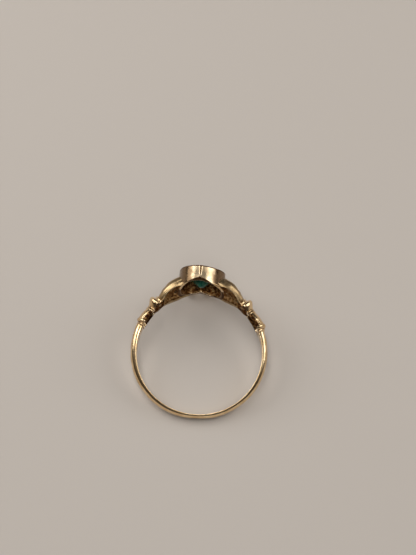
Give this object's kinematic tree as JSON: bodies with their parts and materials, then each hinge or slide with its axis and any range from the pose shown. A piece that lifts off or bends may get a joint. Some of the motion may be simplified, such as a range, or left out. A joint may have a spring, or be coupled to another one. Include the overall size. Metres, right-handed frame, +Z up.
{
  "type": "claddagh ring",
  "caption": "Claddagh ring: cuffed hands hold a heart-shaped green stone in a tall bezel with a crown beside its lobes, on a thin half-round gold shank.",
  "frame": {"origin": "centre of the finger hole, in the middle plane of the shank", "axes": "+Z up from the surface that the ring lies on, +Y from the shank's back towards the head with the heart, +X to the right of a viewer who looks along +Y"},
  "size_m": [0.0189, 0.0209, 0.009],
  "materials": {
    "gold": "worn polished yellow gold, tarnished in the recesses",
    "green_stone": "cut transparent deep green stone"
  },
  "bodies": {
    "root": {"gold_ring": "gold", "heart_stone": "green_stone"}
  },
  "joints": []
}
